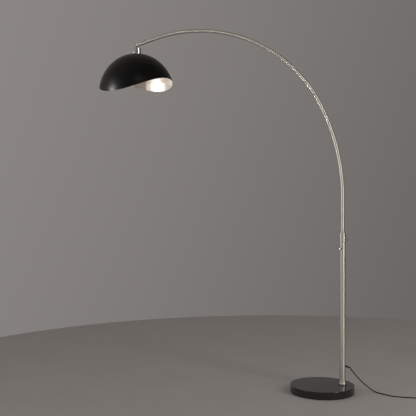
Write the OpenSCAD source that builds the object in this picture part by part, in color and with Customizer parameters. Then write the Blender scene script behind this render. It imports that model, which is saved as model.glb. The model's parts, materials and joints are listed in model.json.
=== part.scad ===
// Arc floor lamp: round stone base, steel pole, a telescoping arc arm that is
// clamped by two thumbscrews, and a dome shade with a wavy rim.
// Millimetres, +Z up. The origin is the centre of the base's underside.
// The arm reaches towards -X, and the pole stands on the +X side of the base.

/* [Base] */
// Diameter of the stone base
base_d = 350; // [320:5:420]
// Thickness of the stone slab
slab_t = 39; // [30:1:50]
// Thickness of the rubber mat under the slab
mat_t = 3; // [2:0.5:5]
// Distance from the base centre to the pole axis
pole_x = 112; // [90:1:115]

/* [Pole] */
// Outside diameter of the pole
pole_d = 32; // [30:1:34]
// Wall of every steel tube
tube_wall = 1.2; // [1:0.1:1.5]
// Height of the pole tube's top end
pole_top = 872; // [860:1:900]
// Width of the flared foot ferrule
ferrule_d = 42; // [40:1:50]
// Height of the flared foot ferrule
ferrule_h = 24; // [16:1:30]
// Height of the sleeve round the pole's top end
collar_h = 55; // [50:1:60]
// Height of the upper clamp screw's axis
upper_clamp_z = 835; // [830:1:840]
// Height of the lower clamp screw's axis
lower_clamp_z = 788; // [770:1:795]

/* [Arm] */
// Outside diameter of the arm tube
arm_d = 20; // [18:1:20]
// Height of the arm tube's lower end, inside the pole
arm_foot_z = 640; // [600:1:660]
// Height where the arm starts to bend
bend_z = 1075; // [1060:1:1090]
// Bend radius of the lower stretch
bend_r1 = 1106; // [1090:1:1110]
// Bend radius of the upper stretch
bend_r2 = 740.5; // [735:0.5:750]
// Lean from the vertical where the two bend radii meet
blend_lean = 27.85; // [25:0.05:30]
// Lean from the vertical at the seam between the two arm tubes
seam_lean = 42.1; // [40:0.1:45]
// Lean from the vertical at the straight tip
tip_lean = 110; // [108:0.5:112]
// Length of the straight tip, to the shade's axis
tip_l = 101; // [80:1:110]

/* [Shade] */
// Widest diameter of the dome
shade_d = 416; // [400:2:430]
// Height of the dome's crown over its widest level
dome_h = 225; // [215:1:235]
// Wall of the spun metal shell
shell_t = 1.2; // [1:0.1:1.6]
// Mean height of the wavy rim over the dome's widest level
rim_mean = 50; // [45:1:55]
// Height of the rim's twofold wave
wave_two = 30; // [0:1:32]
// Direction of the twofold wave's low points
wave_two_at = 54; // [0:1:90]
// Height of the rim's single wave
wave_one = 26; // [0:1:28]
// Direction of the single wave's low point
wave_one_at = 250; // [180:1:270]
// Diameter of the metal cup over the lampholder
cup_d = 46; // [44:1:50]
// Height of the metal cup
cup_h = 34.5; // [33:0.5:40]

/* [Mains lead] */
// Diameter of the mains cord
cord_d = 6.2; // [6:0.1:6.4]
// Height where the cord leaves the pole
cord_exit_z = 142.6; // [130:0.1:160]
// Downward slant of the cord where it leaves the pole
cord_slant = 18; // [10:1:25]
// Turns in each layer of the coil
coil_columns = 2; // [2:1:2]
// Layers in the coil
coil_rows = 3; // [2:1:3]

/* [Hidden] */

$fn = 96;
cut = 1;          // how far a cutting tool reaches past a face
slip = 0.08;      // radial clearance of a turning or sliding fit
gap = 0.3;        // clearance between faces that pass each other

base_top = mat_t + slab_t;
pole_r = pole_d / 2;
pole_bore = pole_r - tube_wall;
arm_r = arm_d / 2;
arm_bore = arm_r - tube_wall;

// Base fastening: an M12 bolt and a wide washer in a recess of the slab
bolt_r = 6;
bolt_head_flats = 19;
bolt_head_h = 7.5;
washer_t = 2.5;
recess_r = 23;
recess_h = 16;
recess_top = mat_t + recess_h;
plug_h = 28;
bolt_tip = base_top + plug_h - 6;
gasket_t = 2.5;
gasket_rim = 3;   // how far the black gasket shows round the ferrule

// Pole top: a nylon bush that guides the arm, under the collar's lip
collar_r = pole_r + 2;
collar_top = pole_top + 4.6;
collar_lip_bore = arm_r + 0.5;
bush_h = 60;

// Clamp screws, each as [shank radius, insert radius, neck radius, head radius, head length]
upper_clamp = [3, 5, 4.2, 9.5, 7.5];
lower_clamp = [2.5, 4, 3.6, 6, 6];
lower_clamp_turn = 220; // direction of the lower screw, seen from above, counted from +X
pad_l = 2.5;
insert_flange_t = 1.3;
pad_stem_r = 1.5;
pad_stem_l = 3;

// Arm: the lower end turns in a glide that slides in the pole
glide_h = 28;
glide_z = arm_foot_z + gap;
cap_flange_t = 4;
circlip_t = 2;
lead_r = 2.5;
lead_bore = 3.3;
lead_corner = 3.7; // how far the arm's lead stops short of the lead in the stem
spigot_lean = 3.1;
screw_lean = seam_lean + 1.2;
joint_screw_r = 2;
joint_screw_l = 5.6;
past_end = 0.1;   // how far, in degrees, a bore runs past the end of a bend

arc1_centre = [pole_x - bend_r1, bend_z];
blend_start = arc1_centre + bend_r1 * [cos(blend_lean), sin(blend_lean)];
blend_l = 0.05;   // hairline where the two bend radii meet, so that each is a clean solid
arc2_centre = blend_start - bend_r2 * [cos(blend_lean), sin(blend_lean)]
    + blend_l * [-sin(blend_lean), cos(blend_lean)];
tip_start = arc2_centre + bend_r2 * [cos(tip_lean), sin(tip_lean)];
knuckle = tip_start + tip_l * [-sin(tip_lean), cos(tip_lean)];
knuckle_half = 7;
knuckle_spigot = 25;
shade_x = knuckle[0];
knuckle_z = knuckle[1];

// Shade, cup and lampholder, stacked under the knuckle
cup_wall = 1;
cup_plate = 1.5;
cup_top = knuckle_z - arm_r / sin(tip_lean) - 5.2;
seat_z = cup_top - cup_h;
seat_r = 27;
shade_hole = 20;
shade_r = shade_d / 2;
seat_lean = asin(seat_r / shade_r);
dome_z = seat_z - dome_h * cos(seat_lean);
lining_t = 0.4;
lining_gap = 0.1;  // bonding layer between shell and lining
shade_steps = 72;
shade_rows = 15;

stem_r = 5;
stem_low = cup_top - 10;
stem_high = knuckle_z - 7;
stem_collar_r = 8;
stem_nut_t = 5;
stem_washer_t = 1;

skirt_r = 19.6;
skirt_low = seat_z - 42;
holder_top = cup_top - 14;
holder_flange_t = 4;
ring_t = 7;
bulb_cap_r = 13.3;
bulb_cap_l = 25;
bulb_tip_z = skirt_low + 24;
bulb_r = 30;
bulb_l = 106;

// Cord: where it leaves the pole, and its strain relief
cord_r = cord_d / 2;
cord_bore = cord_r + 0.2;
relief_l = 20;
relief_r = 6.2;
sleeve_r = 4.7;

// Foot switch on the floor, in line with the cord
switch_at = [610, -140];
switch_r = 31;
switch_split = 9;
switch_top = 24;
switch_wall = 2;
switch_foot_h = 1.2;
button_r = 13;
button_top = 29;
button_skirt = 17;
switch_relief_l = 22;
switch_relief_r = 5;
switch_post = [0, 22];
block_size = [22, 18, 7];

// Coil of spare cord, with its tie
coil_at = [640, 0];
coil_in = 31;
coil_out = coil_in + (coil_columns - 1) * (cord_d + 0.2);
coil_low_r = coil_in - cord_r;
coil_high_r = coil_out + cord_r;
coil_h = coil_rows * (cord_d + 0.1) - 0.1;
tie_w = 10;
tie_t = 0.9;
tie_at = 44;

// Flat two-pin plug
plug_at = [640, 106];
plug_l = 36;
plug_w = 35;
plug_t = 14;
pin_r = 2;
pin_l = 19;
pin_pitch = 18.6;

// Routes of the free cord, from the pole to the switch, to the coil and to the plug
relief_out = [pole_x + pole_r, 0, cord_exit_z];
mains_route = [
    relief_out + along(-4), relief_out, relief_out + along(relief_l), relief_out + along(relief_l + 5),
    [160, 3, 122], [175, 6, 105], [188, 8, 89], [202, 10, 73], [227, 10, 48],
    [252, 4, 28], [274, -10, 12], [295, -27, 5], [316, -47, cord_r],
    [335, -71, cord_r], [354, -92, cord_r], [375, -106, cord_r], [399, -114, cord_r],
    [422, -121, cord_r], [445, -127, cord_r], [477, -134, cord_r], [510, -139, 3.6],
    [535, -140, 7], [557, -140, switch_split], [586, -140, switch_split]
];
switch_route = [
    [634, -140, switch_split], [663, -140, switch_split], [683, -137, 6], [699, -125, 3.5],
    [706, -106, cord_r], [703, -84, cord_r], [694, -62, cord_r], [684, -38, cord_r],
    [678, -14, cord_r], [coil_at[0] + coil_out, 4, cord_r]
];
plug_route = [
    [646, coil_out, coil_h - cord_r], [632, 38, coil_h - cord_r], [616, 42, 13],
    [600, 51, 9], [590, 65, 5.5], [590, 82, 4.5], [599, 97, 5.5], [616, 105, 6.5],
    [630, 106, plug_t / 2], [plug_at[0] + 8, plug_at[1], plug_t / 2]
];
pole_lead_route = [
    relief_out + along(-4.5), relief_out + along(-8), [pole_x + 3, 0, 150], [pole_x + 0.5, 0, 160],
    [pole_x, 0, 175], [pole_x + 3, 2, 230], [pole_x - 3, -2, 300], [pole_x + 3, 2, 370],
    [pole_x - 3, -2, 440], [pole_x + 2, 1, 510], [pole_x, 0, 570], [pole_x, 0, 610],
    [pole_x, 0, arm_foot_z - cap_flange_t - 0.5]
];

// A step of length l out of the pole, along the cord's strain relief
function along(l) = l * [cos(cord_slant), 0, -sin(cord_slant)];

function unit(v) = v / norm(v);

// Point at t on the smooth curve from b to c, whose neighbours are a and d
function curve(a, b, c, d, t) =
    b + t * (c - a) / 2 + t * t * (2 * a - 5 * b + 4 * c - d) / 2
    + t * t * t * (3 * b - a - 3 * c + d) / 2;

// Route with one more point halfway along each stretch
function smooth(p) = concat(
    [for (i = [0 : len(p) - 2]) for (t = [0, 0.5])
        curve(p[max(i - 1, 0)], p[i], p[i + 1], p[min(i + 2, len(p) - 1)], t)],
    [p[len(p) - 1]]);

// Round solid swept along a route; side is a direction that the route never takes
module sweep(route, r, sides = 10, side = [0, 0, 1]) {
    p = smooth(route);
    last = len(p) - 1;
    rings = [for (i = [0 : last])
        let (ahead = unit(p[min(i + 1, last)] - p[max(i - 1, 0)]),
             left = unit(cross(side, ahead)),
             up = cross(ahead, left))
        for (k = [0 : sides - 1])
            p[i] + r * (cos(360 * k / sides) * left + sin(360 * k / sides) * up)];
    skin = [for (i = [0 : last - 1]) for (k = [0 : sides - 1])
        let (a = i * sides + k, b = i * sides + (k + 1) % sides)
        each [[a + sides, b, a], [a + sides, b + sides, b]]];
    ends = [[for (k = [0 : sides - 1]) k], [for (k = [sides - 1 : -1 : 0]) last * sides + k]];
    polyhedron(rings, concat(skin, ends));
}

module ring(outer, inner, h) {
    difference() {
        cylinder(r = outer, h = h);
        translate([0, 0, -cut]) cylinder(r = inner, h = h + 2 * cut);
    }
}

// Puts children on the pole axis at height z, with their +Z turned to point along turn
module on_pole(z, turn = 0) {
    translate([pole_x, 0, z]) rotate([0, 0, turn]) rotate([0, 90, 0]) children();
}

// Round bar of radius r along one of the arm's bends, between two leans
module arm_bend(centre, bend_r, from, to, r) {
    translate([centre[0], 0, centre[1]]) rotate([90, 0, 0]) rotate([0, 0, from])
        rotate_extrude(angle = to - from) translate([bend_r, 0]) circle(r = r);
}

// Round bar along the arm from a height in the pole to a lean on the upper bend
module arm_bar(low, lean, r) {
    translate([pole_x, 0, low]) cylinder(r = r, h = bend_z - low);
    arm_bend(arc1_centre, bend_r1, 0, blend_lean, r);
    arm_bend(arc2_centre, bend_r2, blend_lean, lean, r);
}

// Round bar along the arm from a lean on the upper bend to short of the shade's axis
module tip_bar(lean, short, r) {
    arm_bend(arc2_centre, bend_r2, lean, tip_lean, r);
    on_tip(blend_l - tip_l) cylinder(r = r, h = tip_l - blend_l - short);
}

// Puts children on the underside of the arm's upper bend, with their +Z into the tube
module under_bend(lean) {
    translate([arc2_centre[0], 0, arc2_centre[1]]) rotate([0, 90 - lean, 0])
        translate([0, 0, bend_r2 - arm_r]) children();
}

// Puts children at the knuckle, with their +Z along the arm's straight tip
module on_tip(z) {
    translate([knuckle[0], 0, knuckle[1]]) rotate([0, -tip_lean, 0]) translate([0, 0, z]) children();
}

// ---- Base ----

module base_mat() {
    color("#1b1b1b") cylinder(d = base_d - 14, h = mat_t);
}

module base_slab() {
    r = base_d / 2;
    edge = 1.5;
    color("#1d1f22") difference() {
        translate([0, 0, mat_t]) rotate_extrude() polygon([
            [0, 0], [r - edge, 0], [r, edge], [r, slab_t - edge], [r - edge, slab_t], [0, slab_t]]);
        translate([pole_x, 0, mat_t - cut]) cylinder(r = bolt_r + 0.5, h = slab_t + 2 * cut);
        translate([pole_x, 0, mat_t - cut]) cylinder(r = recess_r, h = recess_h + cut);
    }
}

module base_washer() {
    color("#a9abad") translate([pole_x, 0, recess_top - washer_t]) ring(18.5, bolt_r, washer_t);
}

module base_bolt() {
    head_z = recess_top - washer_t - bolt_head_h;
    color("#8d9093") translate([pole_x, 0, head_z]) union() {
        cylinder(d = bolt_head_flats / cos(30), h = bolt_head_h, $fn = 6);
        cylinder(r = bolt_r, h = bolt_tip - head_z);
    }
}

module pole_foot_plug() {
    color("#8d9093") translate([pole_x, 0, base_top]) difference() {
        cylinder(r = pole_bore, h = plug_h);
        translate([0, 0, -cut]) cylinder(r = bolt_r, h = bolt_tip - base_top + cut);
    }
}

module foot_gasket() {
    color("#121212") translate([pole_x, 0, base_top]) ring(ferrule_d / 2 + gasket_rim, pole_r, gasket_t);
}

module foot_ferrule() {
    wide = ferrule_d / 2;
    slim = pole_r + 1;
    flare = [for (a = [0 : 10 : 90])
        [wide - (wide - slim) * sin(a), 2 + (ferrule_h - 2) * (1 - cos(a))]];
    color("#b9b4ab") translate([pole_x, 0, base_top + gasket_t]) rotate_extrude()
        polygon(concat([[pole_r, 0], [wide, 0]], flare, [[pole_r, ferrule_h]]));
}

// ---- Pole ----

module pole_tube() {
    color("#b9b4ab") difference() {
        translate([pole_x, 0, base_top]) ring(pole_r, pole_bore, pole_top - base_top);
        on_pole(upper_clamp_z) cylinder(r = upper_clamp[1], h = pole_d);
        on_pole(lower_clamp_z, lower_clamp_turn) cylinder(r = lower_clamp[1], h = pole_d);
        translate(relief_out) rotate([0, 90 + cord_slant, 0])
            translate([0, 0, -8]) cylinder(r = sleeve_r, h = 16);
    }
}

module pole_top_bush() {
    color("#e8e4da") difference() {
        translate([pole_x, 0, pole_top - bush_h]) ring(pole_bore, arm_r + 0.08, bush_h);
        on_pole(upper_clamp_z) cylinder(r = upper_clamp[0] + 0.4, h = pole_d);
    }
}

module pole_collar() {
    low = collar_top - collar_h;
    edge = 1;
    color("#c4bfb6") difference() {
        translate([pole_x, 0, 0]) rotate_extrude() polygon([
            [pole_r, low], [collar_r - edge, low], [collar_r, low + edge],
            [collar_r, collar_top - edge], [collar_r - edge, collar_top],
            [collar_lip_bore, collar_top], [collar_lip_bore, pole_top], [pole_r, pole_top]]);
        on_pole(upper_clamp_z) cylinder(r = upper_clamp[1], h = pole_d);
    }
}

// ---- Clamp screws: threaded insert, screw with head, and nylon pad ----

module clamp_insert(screw, surface) {
    difference() {
        union() {
            translate([0, 0, pole_bore]) cylinder(r = screw[1], h = surface - pole_bore);
            translate([0, 0, surface]) cylinder(r = screw[1] + 1.2, h = insert_flange_t);
        }
        cylinder(r = screw[0] + slip, h = pole_d);
    }
}

module clamp_pad(screw) {
    tip = arm_r + gap;
    translate([0, 0, tip]) cylinder(r = screw[0] - 0.1, h = pad_l - 0.1);
    translate([0, 0, tip]) cylinder(r = pad_stem_r - slip, h = pad_l + pad_stem_l - 0.1);
}

module clamp_knob(screw, surface) {
    shank = arm_r + gap + pad_l;
    neck = surface + insert_flange_t + gap;
    head = neck + 3;
    top = head + screw[4];
    edge = 1;
    rotate_extrude() polygon([
        [pad_stem_r, shank], [screw[0], shank], [screw[0], neck], [screw[2], neck],
        [screw[2], head], [screw[3] - edge, head], [screw[3], head + edge],
        [screw[3], top - edge], [screw[3] - 2 * edge, top], [0, top],
        [0, shank + pad_stem_l + 0.1], [pad_stem_r, shank + pad_stem_l + 0.1]]);
}

module upper_clamp_insert() {
    color("#c4bfb6") on_pole(upper_clamp_z) clamp_insert(upper_clamp, collar_r);
}
module upper_clamp_pad() { color("#e8e4da") on_pole(upper_clamp_z) clamp_pad(upper_clamp); }
module upper_clamp_knob() {
    color("#d5d2cc") on_pole(upper_clamp_z) clamp_knob(upper_clamp, collar_r);
}
module lower_clamp_insert() {
    color("#c4bfb6") on_pole(lower_clamp_z, lower_clamp_turn) clamp_insert(lower_clamp, pole_r);
}
module lower_clamp_pad() { color("#e8e4da") on_pole(lower_clamp_z, lower_clamp_turn) clamp_pad(lower_clamp); }
module lower_clamp_knob() {
    color("#d5d2cc") on_pole(lower_clamp_z, lower_clamp_turn) clamp_knob(lower_clamp, pole_r);
}

// ---- Arm ----

module arm_glide() {
    color("#e8e4da") translate([pole_x, 0, glide_z]) ring(pole_bore - 0.1, arm_r + slip, glide_h);
}

module arm_foot_cap() {
    color("#e8e4da") translate([pole_x, 0, arm_foot_z]) difference() {
        union() {
            translate([0, 0, -cap_flange_t]) cylinder(r = pole_bore - 1.5, h = cap_flange_t);
            cylinder(r = arm_bore, h = 15);
        }
        translate([0, 0, -cap_flange_t - cut]) cylinder(r = lead_bore, h = 15 + cap_flange_t + 2 * cut);
    }
}

module arm_circlip() {
    color("#8d9093") translate([pole_x, 0, glide_z + glide_h + gap]) ring(pole_bore - 2, arm_r, circlip_t);
}

module arm_lower_tube() {
    color("#b9b4ab") difference() {
        arm_bar(arm_foot_z, seam_lean, arm_r);
        arm_bar(arm_foot_z - cut, seam_lean + past_end, arm_bore);
    }
}

module arm_joint_spigot() {
    low = seam_lean - spigot_lean;
    high = seam_lean + spigot_lean;
    color("#8d9093") difference() {
        arm_bend(arc2_centre, bend_r2, low, high, arm_bore);
        arm_bend(arc2_centre, bend_r2, low - past_end, high + past_end, lead_bore);
        joint_screw_hole();
    }
}

module joint_screw_hole() {
    under_bend(screw_lean) translate([0, 0, -cut]) cylinder(r = joint_screw_r, h = joint_screw_l + cut);
}

module arm_joint_screw() {
    proud = 0.2;
    color("#6c6e70") under_bend(screw_lean) difference() {
        translate([0, 0, -proud]) cylinder(r = joint_screw_r, h = joint_screw_l + proud);
        translate([0, 0, -proud - cut]) cylinder(r = joint_screw_r / 2, h = 2 + cut, $fn = 6);
    }
}

module arm_upper_tube() {
    color("#b9b4ab") difference() {
        tip_bar(seam_lean, knuckle_half, arm_r);
        tip_bar(seam_lean - past_end, knuckle_half - cut, arm_bore);
        joint_screw_hole();
    }
}

module arm_end_knuckle() {
    edge = 1.5;
    color("#a7a39c") difference() {
        on_tip(0) rotate_extrude() polygon([
            [0, -knuckle_half - knuckle_spigot], [arm_bore, -knuckle_half - knuckle_spigot],
            [arm_bore, -knuckle_half], [arm_r, -knuckle_half], [arm_r, knuckle_half - edge],
            [arm_r - edge, knuckle_half], [0, knuckle_half]]);
        on_tip(-knuckle_half - knuckle_spigot - cut)
            cylinder(r = lead_bore, h = knuckle_half + knuckle_spigot + cut);
        translate([shade_x, 0, knuckle_z - 2 * arm_r]) cylinder(r = stem_r, h = 2 * arm_r + 3.5);
    }
}

// ---- Stem that the shade turns on ----

module stem_nipple() {
    color("#8d9093") translate([shade_x, 0, stem_low]) ring(stem_r, lead_bore, stem_high - stem_low);
}

module stem_collar() {
    color("#3a3a3c") difference() {
        translate([shade_x, 0, cup_top + gap]) ring(stem_collar_r, stem_r, 10);
        on_tip(-30) cylinder(r = arm_r, h = 60);
    }
}

module stem_washer() {
    color("#e8e4da") translate([shade_x, 0, cup_top - cup_plate - gap - stem_washer_t])
        ring(8.5, stem_r, stem_washer_t);
}

module stem_nut() {
    color("#a9abad") translate([shade_x, 0, cup_top - cup_plate - gap - stem_washer_t - stem_nut_t])
        difference() {
            cylinder(d = 14 / cos(30), h = stem_nut_t, $fn = 6);
            translate([0, 0, -cut]) cylinder(r = stem_r, h = stem_nut_t + 2 * cut);
        }
}

// ---- Leads inside the tubes ----

module pole_lead() {
    color("#202020") sweep(pole_lead_route, lead_r, 8, [0, 1, 0]);
}

module arm_lead() {
    color("#202020") union() {
        arm_bar(arm_foot_z - cap_flange_t, seam_lean, lead_r);
        tip_bar(seam_lean, lead_corner, lead_r);
        translate([shade_x, 0, stem_low]) cylinder(r = lead_r, h = knuckle_z + lead_r - stem_low);
    }
}

module holder_lead() {
    color("#202020") translate([shade_x, 0, holder_top])
        cylinder(r = lead_r, h = stem_low - gap - holder_top);
}

// ---- Cup, lampholder and bulb ----

module holder_cup() {
    r = cup_d / 2;
    edge = 3;
    rounding = [for (a = [0 : 15 : 90])
        [r - edge + edge * cos(a), cup_top - edge + edge * sin(a)]];
    color("#dcdad6") translate([shade_x, 0, 0]) rotate_extrude() polygon(concat(
        [[r - cup_wall, seat_z], [r, seat_z]], rounding,
        [[stem_r + slip, cup_top], [stem_r + slip, cup_top - cup_plate],
         [r - edge, cup_top - cup_plate], [r - cup_wall, cup_top - edge]]));
}

module lampholder() {
    flange_r = cup_d / 2 - cup_wall;
    roof = bulb_tip_z + 6;
    color("#e9e6df") translate([shade_x, 0, 0]) rotate_extrude() polygon([
        [skirt_r, skirt_low], [skirt_r, seat_z], [flange_r, seat_z],
        [flange_r, seat_z + holder_flange_t], [18, seat_z + holder_flange_t + 1],
        [18, holder_top - 4], [14, holder_top], [0, holder_top], [0, roof],
        [bulb_cap_r + 0.7, roof], [bulb_cap_r + 0.7, skirt_low + 3], [15, skirt_low]]);
}

module lampholder_contacts() {
    color("#c9a24a") translate([shade_x, 0, 0]) {
        translate([0, 0, skirt_low + 4]) ring(bulb_cap_r + 0.7, bulb_cap_r + 0.1, bulb_tip_z - skirt_low - 6);
        translate([0, 0, bulb_tip_z]) cylinder(r = 3.5, h = 6);
    }
}

module shade_ring() {
    edge = 1.2;
    outer = seat_r - 0.5;
    top = seat_z - shell_t - slip;
    color("#e9e6df") translate([shade_x, 0, top - ring_t]) rotate_extrude() polygon([
        [skirt_r, 0], [outer - edge, 0], [outer, edge], [outer, ring_t], [skirt_r, ring_t]]);
}

module bulb_cap() {
    color("#c8c9cb") translate([shade_x, 0, 0]) {
        translate([0, 0, bulb_tip_z - bulb_cap_l]) cylinder(r = bulb_cap_r, h = bulb_cap_l - 3);
        translate([0, 0, bulb_tip_z - 3]) cylinder(r1 = bulb_cap_r, r2 = 5, h = 3);
    }
}

module bulb_body() {
    low = bulb_tip_z - bulb_l + bulb_r;
    high = bulb_tip_z - bulb_cap_l;
    color("#f2f1ec") translate([shade_x, 0, low]) rotate_extrude() polygon(concat(
        [[0, 0], [bulb_r - 0.5, 0]],
        [for (k = [1 : 8]) let (t = k / 8)
            [(bulb_r - 0.5) + (14 - bulb_r + 0.5) * (1 - cos(180 * t)) / 2, (high - low) * t]],
        [[0, high - low]]));
}

module bulb_globe() {
    low = bulb_tip_z - bulb_l + bulb_r;
    color("#f7f5ee") translate([shade_x, 0, low]) difference() {
        sphere(r = bulb_r);
        sphere(r = bulb_r - 1.2);
        cylinder(r = bulb_r + cut, h = bulb_r + cut);
    }
}

// ---- Shade ----

// Height of the rim in one direction
function rim_z(a) = dome_z + rim_mean - wave_two * cos(2 * (a - wave_two_at))
    - wave_one * cos(a - wave_one_at);

// One line down the dome, a distance in from its outer face, from radius r0 to the rim
function dome_line(a, inward, r0) =
    let (w = shade_r - inward, h = dome_h - inward,
         start = asin(max(r0, seat_r) / w),
         stop = acos((rim_z(a) - dome_z) / h),
         slope = [for (k = [0 : shade_rows])
             let (t = start + (stop - start) * k / shade_rows) [w * sin(t), dome_z + h * cos(t)]])
    r0 < seat_r ? concat([[r0, slope[0][1]]], slope) : slope;

// Closed skin between two faces of the dome, which are split into the same triangles
module dome_skin(outer, inner, r0) {
    lines = [for (i = [0 : shade_steps - 1]) let (a = 360 * i / shade_steps)
        [for (p = concat(dome_line(a, outer, r0), reversed(dome_line(a, inner, r0))))
            [shade_x + p[0] * cos(a), p[0] * sin(a), p[1]]]];
    m = len(lines[0]);
    polyhedron([for (line = lines) each line],
        [for (i = [0 : shade_steps - 1]) for (j = [0 : m - 1])
            let (k = (j + 1) % m, n = (i + 1) % shade_steps,
                 a = i * m + j, b = i * m + k, c = n * m + k, d = n * m + j)
            each j < m / 2 ? [[a, d, c], [a, c, b]] : [[a, d, b], [b, d, c]]]);
}

function reversed(p) = [for (i = [len(p) - 1 : -1 : 0]) p[i]];

module shade_shell() { color("#0d0d0d") dome_skin(0, shell_t, shade_hole); }
module shade_lining() {
    face = shell_t + lining_gap;
    color("#d9d8d4") dome_skin(face, face + lining_t, seat_r);
}

// ---- Free cord ----

module cord_strain_relief() {
    color("#161616") difference() {
        translate(relief_out) rotate([0, 90 + cord_slant, 0]) cylinder(r1 = relief_r, r2 = 4.3, h = relief_l);
        translate([pole_x, 0, cord_exit_z - 30]) cylinder(r = pole_r, h = 60);
        translate(relief_out) rotate([0, 90 + cord_slant, 0])
            translate([0, 0, -cut]) cylinder(r = cord_bore, h = relief_l + 2 * cut);
    }
}

module mains_cord() { color("#161616") sweep(mains_route, cord_r); }
module switch_cord() { color("#161616") sweep(switch_route, cord_r); }
module plug_cord() { color("#161616") sweep(plug_route, cord_r); }

module tie_place() {
    translate([coil_at[0], coil_at[1], 0]) rotate([0, 0, tie_at]) rotate([90, 0, 0])
        translate([0, 0, -tie_w / 2]) linear_extrude(tie_w) children();
}

module cord_coil() {
    round_r = cord_r;
    low = coil_low_r;
    high = coil_high_r;
    color("#161616") difference() {
        translate([coil_at[0], coil_at[1], 0]) rotate_extrude() union() {
            translate([low + round_r, 0]) square([high - low - 2 * round_r, coil_h]);
            translate([low, round_r]) square([high - low, coil_h - 2 * round_r]);
            for (x = [low + round_r, high - round_r], y = [round_r, coil_h - round_r])
                translate([x, y]) circle(r = round_r);
        }
        tie_place() difference() {
            translate([low - cut, -cut]) square([high - low + 2 * cut, coil_h + 2 * cut]);
            translate([low + tie_t, tie_t]) square([high - low - 2 * tie_t, coil_h - 2 * tie_t]);
        }
    }
}

module cord_tie() {
    low = coil_low_r;
    color("#2b2b2b") tie_place() difference() {
        translate([low, 0]) square([coil_high_r - low, coil_h]);
        translate([low + tie_t, tie_t])
            square([coil_high_r - low - 2 * tie_t, coil_h - 2 * tie_t]);
    }
}

// ---- Foot switch ----

module at_switch() { translate([switch_at[0], switch_at[1], 0]) children(); }

// Room for the two cord entries, on the line where the halves meet
module switch_entries(r) {
    translate([-switch_r - cut, 0, switch_split]) rotate([0, 90, 0])
        cylinder(r = r, h = 2 * (switch_r + cut));
}

module switch_base() {
    color("#151515") at_switch() difference() {
        union() {
            translate([0, 0, switch_foot_h]) difference() {
                cylinder(r = switch_r, h = switch_split - switch_foot_h);
                translate([0, 0, switch_wall])
                    cylinder(r = switch_r - switch_wall, h = switch_split);
            }
            for (side = [-1, 1]) translate([0, side * switch_post[1], switch_foot_h])
                cylinder(r = 4, h = switch_split - switch_foot_h);
        }
        for (side = [-1, 1]) translate([0, side * switch_post[1], 0]) {
            cylinder(r = 1.5, h = switch_split + cut);
            cylinder(r = 3, h = switch_foot_h + 2);
        }
        switch_entries(switch_relief_r);
    }
}

module switch_cover() {
    r = switch_r;
    w = switch_wall;
    color("#151515") at_switch() difference() {
        union() {
            rotate_extrude() polygon([
                [r, switch_split], [r, switch_split + 5], [r - 4, switch_top - 4],
                [r - 10, switch_top], [button_r + gap, switch_top],
                [button_r + gap, switch_top - w], [r - 10, switch_top - w],
                [r - 4 - w, switch_top - 4 - w], [r - w, switch_split + 5], [r - w, switch_split]]);
            for (side = [-1, 1]) translate([0, side * switch_post[1], switch_split])
                cylinder(r = 4, h = switch_top - switch_split - 3);
        }
        for (side = [-1, 1]) translate([0, side * switch_post[1], switch_split - cut])
            cylinder(r = 1.5, h = 8 + cut);
        switch_entries(switch_relief_r);
    }
}

module switch_screws() {
    color("#8d9093") at_switch() for (side = [-1, 1]) translate([0, side * switch_post[1], 0]) {
        translate([0, 0, switch_foot_h + 0.2]) cylinder(r = 3, h = 1.8);
        translate([0, 0, switch_foot_h + 0.2]) cylinder(r = 1.5, h = 14);
    }
}

module switch_feet() {
    color("#2a2a2a") at_switch() for (a = [0 : 90 : 270]) rotate([0, 0, a + 45])
        translate([22, 0, 0]) cylinder(r = 5, h = switch_foot_h);
}

module switch_block() {
    floor_z = switch_foot_h + switch_wall;
    color("#d8d4c8") at_switch() translate([0, 0, floor_z]) difference() {
        translate([-block_size[0] / 2, -block_size[1] / 2, 0])
            cube([block_size[0], block_size[1], block_size[2]]);
        translate([0, 0, block_size[2] - 1]) cylinder(r = 5.5, h = 1 + cut);
    }
}

module switch_spring() {
    low = switch_foot_h + switch_wall + block_size[2] - 1;
    color("#a9abad") at_switch() translate([0, 0, low]) ring(5, 3.8, button_top - 4 - low);
}

module switch_button() {
    lip = button_r + 2;
    roof = switch_top - switch_wall - gap;
    color("#2a2a2a") at_switch() rotate_extrude() polygon([
        [0, button_top], [button_r - 3, button_top], [button_r, button_top - 2],
        [button_r, roof], [lip, roof], [lip, button_skirt], [button_r - 2, button_skirt],
        [button_r - 2, button_top - 4], [0, button_top - 4]]);
}

module switch_reliefs() {
    color("#161616") at_switch() for (turn = [0, 180]) rotate([0, 0, turn])
        translate([switch_r - 4, 0, switch_split]) rotate([0, 90, 0]) difference() {
            union() {
                cylinder(r = switch_relief_r, h = 4.5);
                translate([0, 0, 4.5]) cylinder(r1 = switch_relief_r, r2 = 4.1, h = switch_relief_l - 0.5);
            }
            translate([0, 0, -cut]) cylinder(r = cord_bore, h = switch_relief_l + 4 + 2 * cut);
        }
}

// ---- Plug ----

module plug_body() {
    waist = 18;
    color("#161616") translate([plug_at[0], plug_at[1], 0]) difference() {
        linear_extrude(plug_t) polygon([
            [0, -5], [5, -waist / 2], [14, -waist / 2], [24, -plug_w / 2 + 1], [27, -plug_w / 2],
            [plug_l, -plug_w / 2], [plug_l, plug_w / 2], [27, plug_w / 2], [24, plug_w / 2 - 1],
            [14, waist / 2], [5, waist / 2], [0, 5]]);
        translate([-cut, 0, plug_t / 2]) rotate([0, 90, 0]) cylinder(r = cord_bore, h = 8 + cut);
    }
}

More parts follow.
